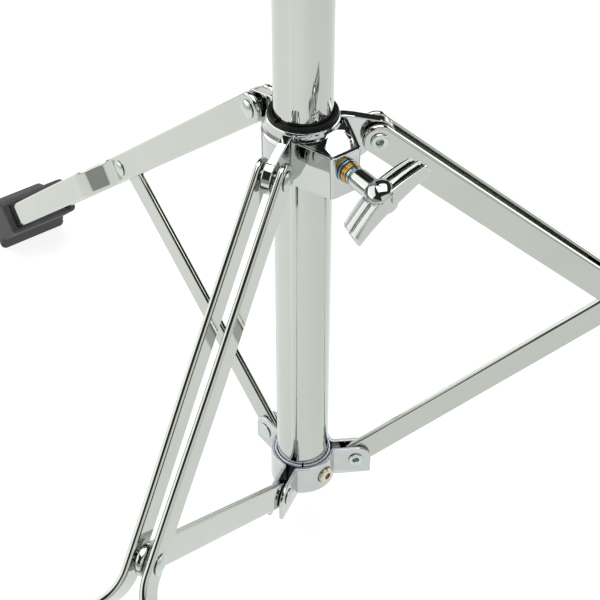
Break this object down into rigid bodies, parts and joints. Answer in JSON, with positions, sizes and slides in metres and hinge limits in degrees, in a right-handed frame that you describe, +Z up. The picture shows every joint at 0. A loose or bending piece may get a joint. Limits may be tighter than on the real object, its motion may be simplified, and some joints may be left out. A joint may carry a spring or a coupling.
{
  "type": "cymbal stand",
  "caption": "Straight cymbal stand on a folding double-braced tripod, with a sliding leg collar, telescoping tubes, a tilter, felts and a wing nut.",
  "frame": {"origin": "centre of the footprint's box at floor level", "axes": "+Z up along the tubes, -Y along leg 1, which comes towards the picture's viewer"},
  "size_m": [0.6562, 0.5684, 1.184],
  "materials": {
    "chrome": "bright chrome plate on steel",
    "zinc": "bright zinc plate",
    "blue_zinc": "blue passivated zinc",
    "brass": "plain yellow brass",
    "bright_steel": "plain steel with a light oil",
    "nylon": "moulded black nylon",
    "rubber": "moulded black rubber",
    "felt": "pressed grey felt"
  },
  "bodies": {
    "base": {"base_tube": "chrome", "tube_end_plug": "rubber", "lower_clamp_sleeve": "bright_steel", "clamp_set_screw": "bright_steel", "height_clamp_body": "chrome", "height_clamp_insert": "nylon", "lower_clamp_segment_1": "chrome", "lower_clamp_segment_2": "chrome", "lower_clamp_segment_3": "chrome", "lower_rivet_1": "zinc", "lower_rivet_2": "zinc", "lower_rivet_3": "zinc"},
    "collar": {"leg_collar": "chrome", "collar_bush": "nylon", "collar_bolt_washer": "blue_zinc", "collar_bolt_bushing": "brass", "upper_rivet_1": "zinc", "upper_rivet_2": "zinc", "upper_rivet_3": "zinc"},
    "collar_bolt": {"collar_wing_bolt": "chrome"},
    "leg_1": {"leg_1_bar_right": "chrome", "leg_1_bar_left": "chrome", "leg_1_foot": "rubber", "leg_1_joint_rivet_head": "zinc", "leg_1_joint_rivet_tail": "zinc"},
    "brace_1": {"brace_1": "chrome"},
    "leg_2": {"leg_2_bar_right": "chrome", "leg_2_bar_left": "chrome", "leg_2_foot": "rubber", "leg_2_joint_rivet_head": "zinc", "leg_2_joint_rivet_tail": "zinc"},
    "brace_2": {"brace_2": "chrome"},
    "leg_3": {"leg_3_bar_right": "chrome", "leg_3_bar_left": "chrome", "leg_3_foot": "rubber", "leg_3_joint_rivet_head": "zinc", "leg_3_joint_rivet_tail": "zinc"},
    "brace_3": {"brace_3": "chrome"},
    "height_clamp_bolt": {"height_clamp_wing_bolt": "chrome"},
    "middle": {"middle_tube": "chrome", "lower_memory_lock": "chrome", "lower_memory_lock_screw": "chrome", "upper_clamp_body": "chrome", "upper_clamp_insert": "nylon"},
    "upper_clamp_bolt": {"upper_clamp_wing_bolt": "chrome"},
    "top": {"top_tube": "chrome", "upper_memory_lock": "chrome", "upper_memory_lock_screw": "chrome", "tilter_base": "chrome", "tilter_nut": "zinc"},
    "tilter_bolt": {"tilter_wing_bolt": "chrome"},
    "head": {"tilter_head": "chrome", "cymbal_rod": "chrome", "cup_washer": "chrome", "cymbal_sleeve": "nylon", "lower_felt": "felt", "upper_felt": "felt"},
    "wing_nut": {"cymbal_wing_nut": "chrome"}
  },
  "joints": [
    {"name": "collar_slide", "type": "slide", "parent": "base", "child": "collar", "axis": [0, 0, 1], "range_m": [0, 0.1363]},
    {"name": "collar_bolt_turn", "type": "hinge", "parent": "collar", "child": "collar_bolt", "pos_m": [0.0433, 0.0553, 0.2706], "axis": [0.866, -0.5, 0], "continuous": true},
    {"name": "leg_1_hinge", "type": "hinge", "parent": "collar", "child": "leg_1", "pos_m": [0, 0.045, 0.2701], "axis": [1, 0, 0], "range_deg": [0, 46.65]},
    {"name": "brace_1_hinge", "type": "hinge", "parent": "base", "child": "brace_1", "pos_m": [0, 0.0505, 0.05], "axis": [1, 0, 0], "range_deg": [-48.7, 0]},
    {"name": "leg_2_hinge", "type": "hinge", "parent": "collar", "child": "leg_2", "pos_m": [0.03057, 0.09795, 0.2701], "axis": [-0.5, 0.866, 0], "range_deg": [0, 46.65]},
    {"name": "brace_2_hinge", "type": "hinge", "parent": "base", "child": "brace_2", "pos_m": [0.02581, 0.0952, 0.05], "axis": [-0.5, 0.866, 0], "range_deg": [-48.7, 0]},
    {"name": "leg_3_hinge", "type": "hinge", "parent": "collar", "child": "leg_3", "pos_m": [-0.03057, 0.09795, 0.2701], "axis": [-0.5, -0.866, 0], "range_deg": [0, 46.65]},
    {"name": "brace_3_hinge", "type": "hinge", "parent": "base", "child": "brace_3", "pos_m": [-0.02581, 0.0952, 0.05], "axis": [-0.5, -0.866, 0], "range_deg": [-48.7, 0]},
    {"name": "height_clamp_bolt_turn", "type": "hinge", "parent": "base", "child": "height_clamp_bolt", "pos_m": [0.02598, 0.0653, 0.485], "axis": [0.866, -0.5, 0], "continuous": true},
    {"name": "middle_tube_slide", "type": "slide", "parent": "base", "child": "middle", "axis": [0, 0, 1], "range_m": [0, 0.29]},
    {"name": "upper_clamp_bolt_turn", "type": "hinge", "parent": "middle", "child": "upper_clamp_bolt", "pos_m": [0.02252, 0.0673, 0.825], "axis": [0.866, -0.5, 0], "continuous": true},
    {"name": "top_tube_slide", "type": "slide", "parent": "middle", "child": "top", "axis": [0, 0, 1], "range_m": [0, 0.22]},
    {"name": "tilter_bolt_turn", "type": "hinge", "parent": "top", "child": "tilter_bolt", "pos_m": [0.02, 0.0803, 1.092], "axis": [1, 0, 0], "continuous": true},
    {"name": "tilter_hinge", "type": "hinge", "parent": "top", "child": "head", "pos_m": [0, 0.0803, 1.092], "axis": [1, 0, 0], "range_deg": [-75, 75]},
    {"name": "wing_nut_turn", "type": "hinge", "parent": "head", "child": "wing_nut", "pos_m": [0, 0.0803, 1.15], "axis": [0, 0, 1], "continuous": true}
  ],
  "couplings": [
    {"joint": "leg_1_hinge", "follows": "collar_slide", "rad_per_m": 5.96},
    {"joint": "brace_1_hinge", "follows": "collar_slide", "rad_per_m": -6.2226},
    {"joint": "leg_2_hinge", "follows": "collar_slide", "rad_per_m": 5.96},
    {"joint": "brace_2_hinge", "follows": "collar_slide", "rad_per_m": -6.2226},
    {"joint": "leg_3_hinge", "follows": "collar_slide", "rad_per_m": 5.96},
    {"joint": "brace_3_hinge", "follows": "collar_slide", "rad_per_m": -6.2226}
  ]
}
